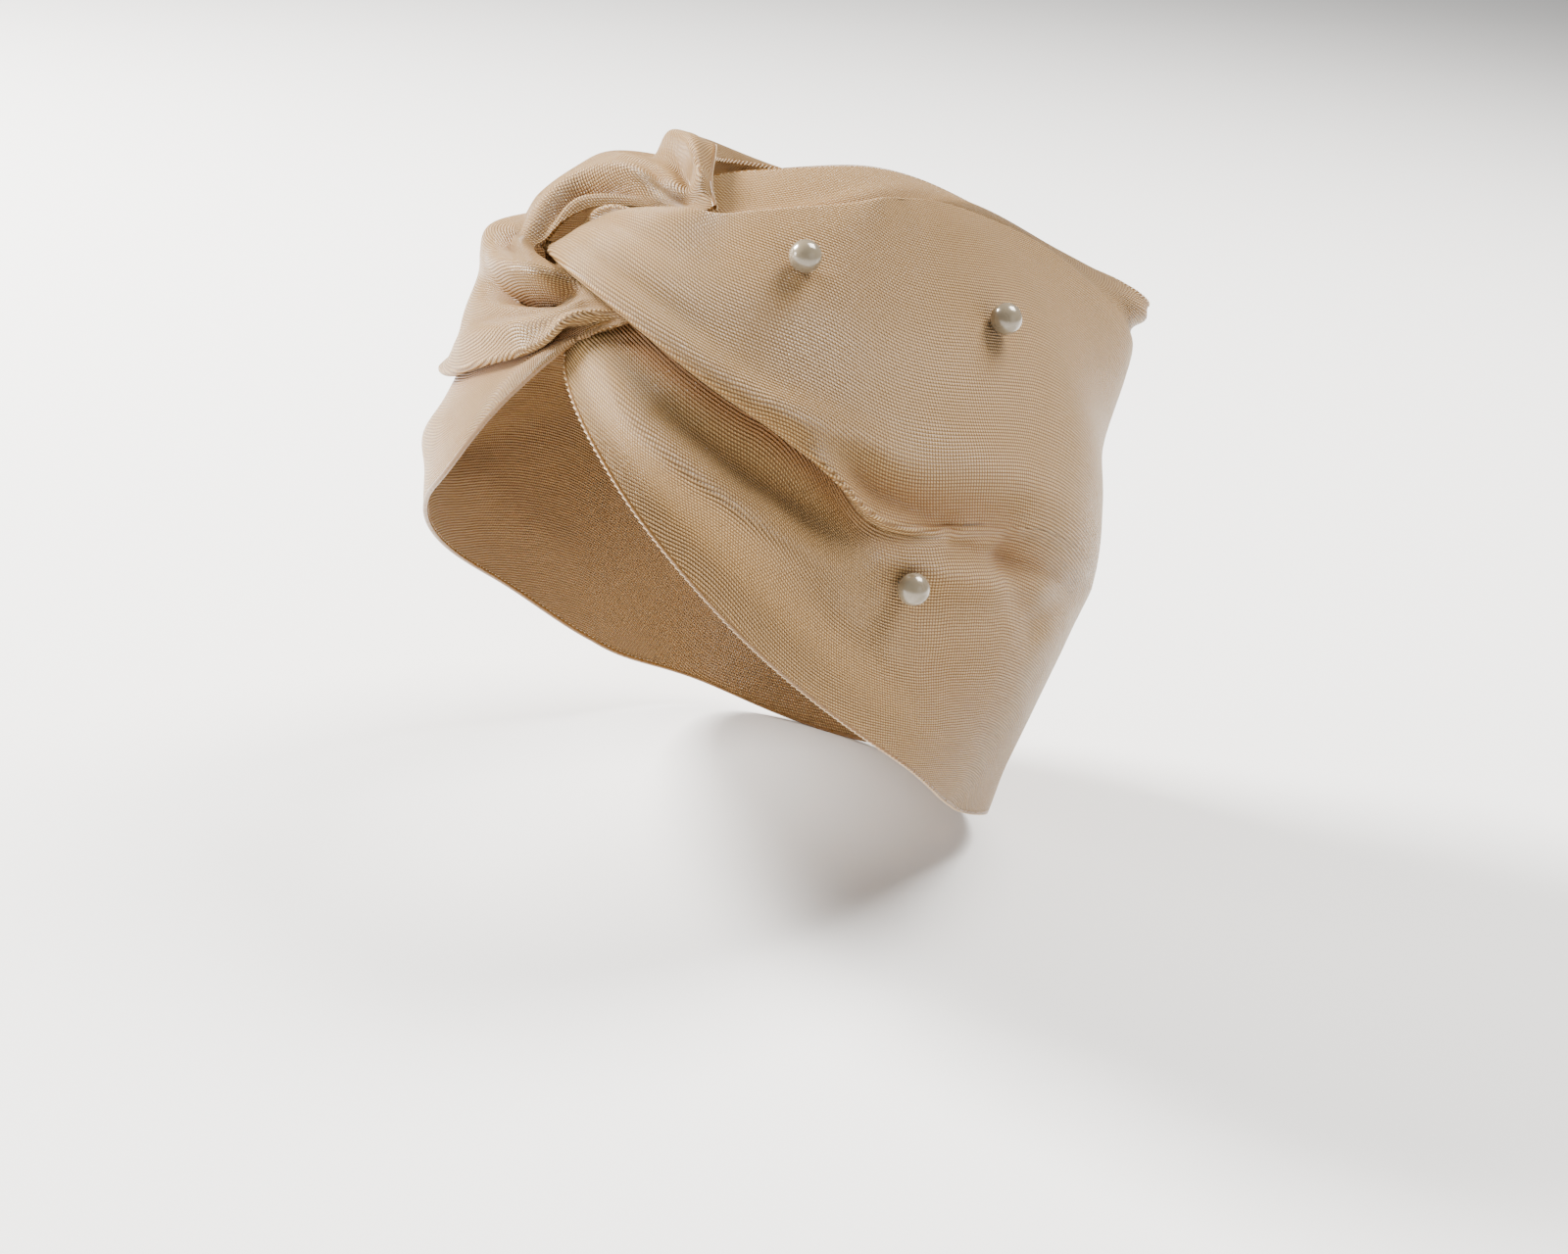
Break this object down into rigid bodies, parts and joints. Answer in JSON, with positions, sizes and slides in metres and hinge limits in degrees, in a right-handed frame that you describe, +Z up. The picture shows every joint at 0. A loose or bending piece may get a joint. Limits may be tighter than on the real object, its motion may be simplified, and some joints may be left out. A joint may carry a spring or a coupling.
{
  "type": "turban headwrap",
  "caption": "Satin turban headwrap in its worn form: wide bands twist into a knot over the brow, lap in pleats at the sides and meet at a back seam, with an open crown and sewn-on pearls.",
  "frame": {"origin": "centre of the hollow for the head, on the wearer's midline, between the temples", "axes": "+Z up, -Y forward to the knot, +X to the wearer's left"},
  "size_m": [0.1582, 0.1982, 0.1779],
  "materials": {
    "satin": "satin",
    "pearl": "pearl"
  },
  "bodies": {
    "root": {"near_band": "satin", "far_band": "satin", "near_pearl_front": "pearl", "near_pearl_back": "pearl", "near_pearl_low": "pearl", "far_pearl_front": "pearl", "far_pearl_back": "pearl", "far_pearl_low": "pearl"}
  },
  "joints": []
}
